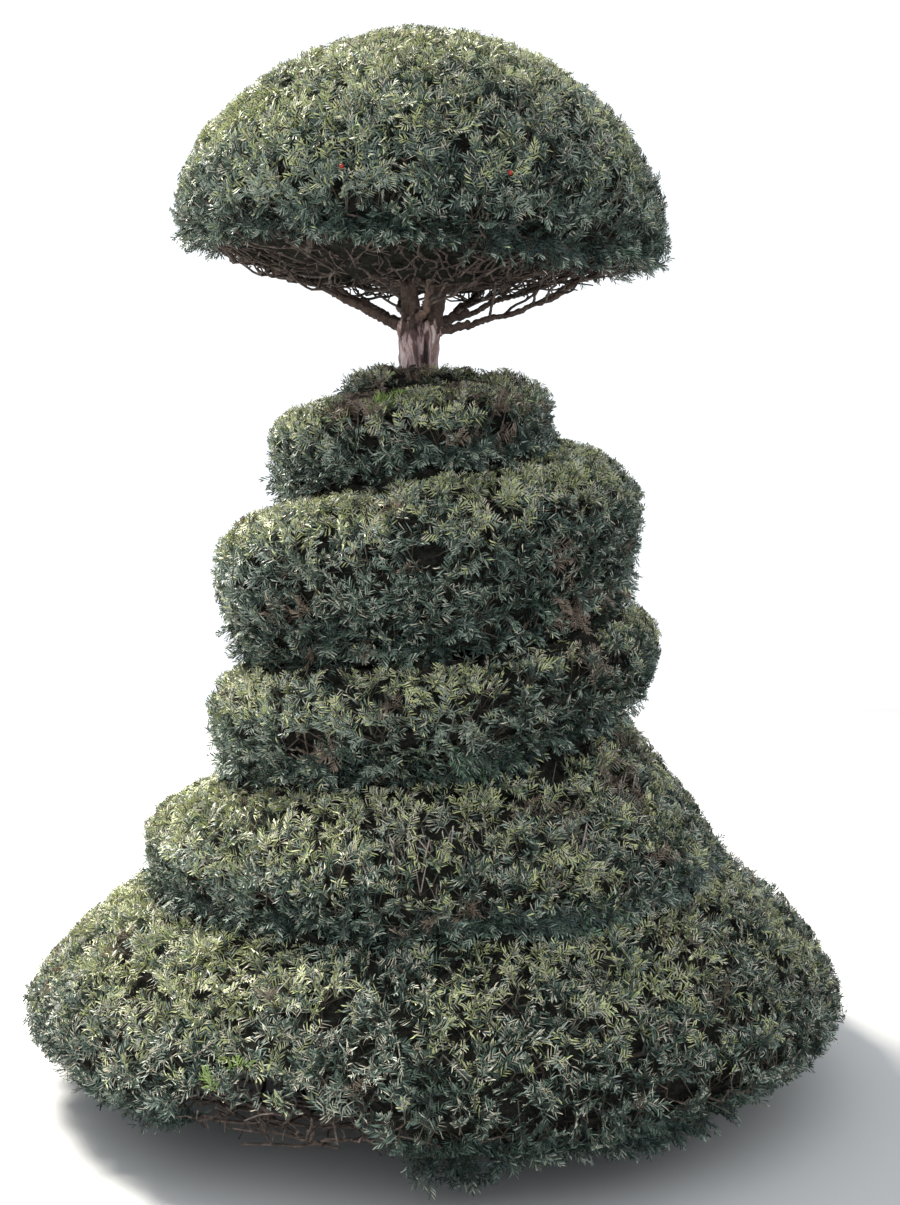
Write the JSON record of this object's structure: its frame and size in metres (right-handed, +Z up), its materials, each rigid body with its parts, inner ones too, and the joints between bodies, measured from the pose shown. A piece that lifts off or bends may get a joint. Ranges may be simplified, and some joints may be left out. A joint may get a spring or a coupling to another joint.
{
  "type": "spiral topiary",
  "caption": "Clipped yew topiary: a mushroom-shaped head on a short bare forked trunk, above a right-handed spiral of dense foliage that widens into a skirt at the ground.",
  "frame": {"origin": "middle of the flat cut where the trunk leaves the ground", "axes": "+Z up along the trunk, +X to the right of the front view, -Y towards the front"},
  "size_m": [1.7112, 1.7082, 2.1884],
  "materials": {
    "bark": "flaking reddish-brown yew bark with pinkish patches, matt",
    "foliage": "dense dark green yew needles, slightly glossy above, yellower on the tips"
  },
  "bodies": {
    "root": {"trunk": "bark", "stem_left": "bark", "stem_right": "bark", "bough_left": "bark", "bough_front": "bark", "bough_front_left": "bark", "bough_front_right": "bark", "bough_right_low": "bark", "bough_right_high": "bark", "bough_back_right": "bark", "bough_back": "bark", "bough_back_left": "bark", "skirt_back": "foliage", "skirt_front": "foliage", "tier_1_back": "foliage", "tier_1_front": "foliage", "tier_2_back": "foliage", "tier_2_front": "foliage", "tier_3_back": "foliage", "tier_3_front": "foliage", "tier_4_back": "foliage", "tier_4_front": "foliage", "tier_5_back": "foliage", "tier_5_front": "foliage", "head": "foliage"}
  },
  "joints": []
}
